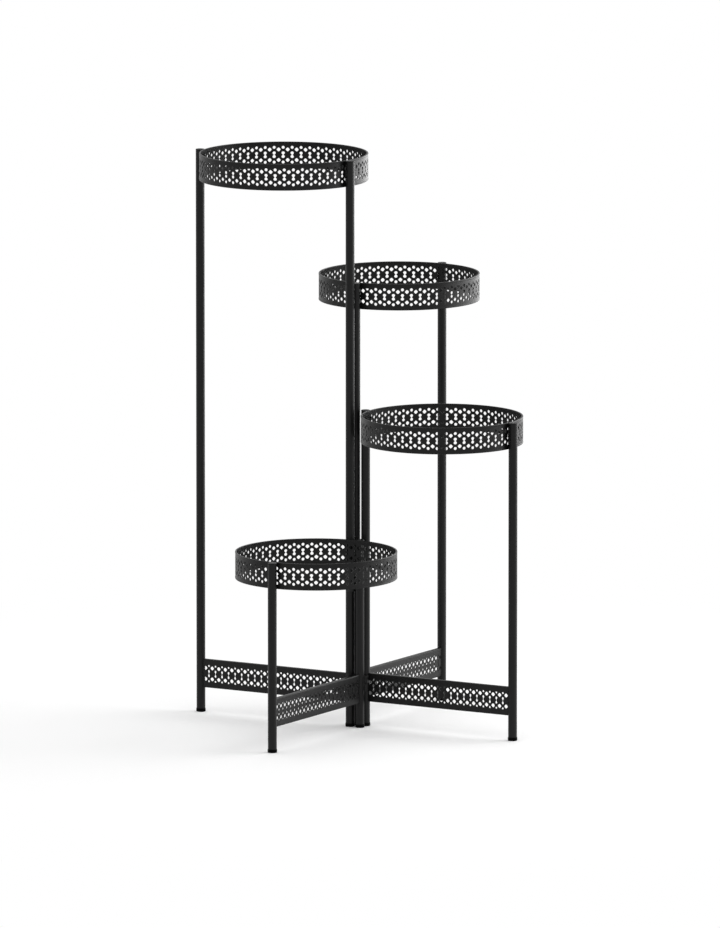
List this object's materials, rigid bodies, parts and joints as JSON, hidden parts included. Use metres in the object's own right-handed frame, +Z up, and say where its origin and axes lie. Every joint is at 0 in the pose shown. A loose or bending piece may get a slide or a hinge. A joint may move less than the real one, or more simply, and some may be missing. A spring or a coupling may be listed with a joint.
{
  "type": "tiered plant stand",
  "caption": "Folding plant stand of slim black tube frames hinged in a pinwheel, each with a perforated pot ring at its own height.",
  "frame": {"origin": "on the floor, below the middle of the overall box of the opened stand", "axes": "+Z up; +X along the frame of tier 3, +Y along the frame of tier 2, -X tier 1 (tallest), -Y tier 4 (lowest)"},
  "size_m": [0.5758, 0.5688, 0.9],
  "materials": {
    "powder_coat": "satin black powder coat",
    "foot_plastic": "matt black moulded plastic",
    "clip_plastic": "satin black moulded nylon"
  },
  "bodies": {
    "tier_1": {"tier_1_inner_post": "powder_coat", "tier_1_outer_post": "powder_coat", "tier_1_pot_ring": "powder_coat", "tier_1_cross_strip": "powder_coat", "tier_1_foot_caps": "foot_plastic", "tier_1_top_plugs": "foot_plastic", "hinge_clips_1_2": "clip_plastic"},
    "tier_2": {"tier_2_inner_post": "powder_coat", "tier_2_outer_post": "powder_coat", "tier_2_pot_ring": "powder_coat", "tier_2_cross_strip": "powder_coat", "tier_2_foot_caps": "foot_plastic", "tier_2_top_plugs": "foot_plastic", "hinge_clips_2_3": "clip_plastic"},
    "tier_3": {"tier_3_inner_post": "powder_coat", "tier_3_outer_post": "powder_coat", "tier_3_pot_ring": "powder_coat", "tier_3_cross_strip": "powder_coat", "tier_3_foot_caps": "foot_plastic", "tier_3_top_plugs": "foot_plastic", "hinge_clips_3_4": "clip_plastic"},
    "tier_4": {"tier_4_inner_post": "powder_coat", "tier_4_outer_post": "powder_coat", "tier_4_pot_ring": "powder_coat", "tier_4_cross_strip": "powder_coat", "tier_4_foot_caps": "foot_plastic", "tier_4_top_plugs": "foot_plastic"}
  },
  "joints": [
    {"name": "tier_2_hinge", "type": "hinge", "parent": "tier_1", "child": "tier_2", "pos_m": [-0.0054, 0.0089, 0], "axis": [0, 0, 1], "range_deg": [0, 90]},
    {"name": "tier_3_hinge", "type": "hinge", "parent": "tier_2", "child": "tier_3", "pos_m": [0.0124, 0.0089, 0], "axis": [0, 0, 1], "range_deg": [0, 86]},
    {"name": "tier_4_hinge", "type": "hinge", "parent": "tier_3", "child": "tier_4", "pos_m": [0.0124, -0.0089, 0], "axis": [0, 0, 1], "range_deg": [0, 90]}
  ]
}
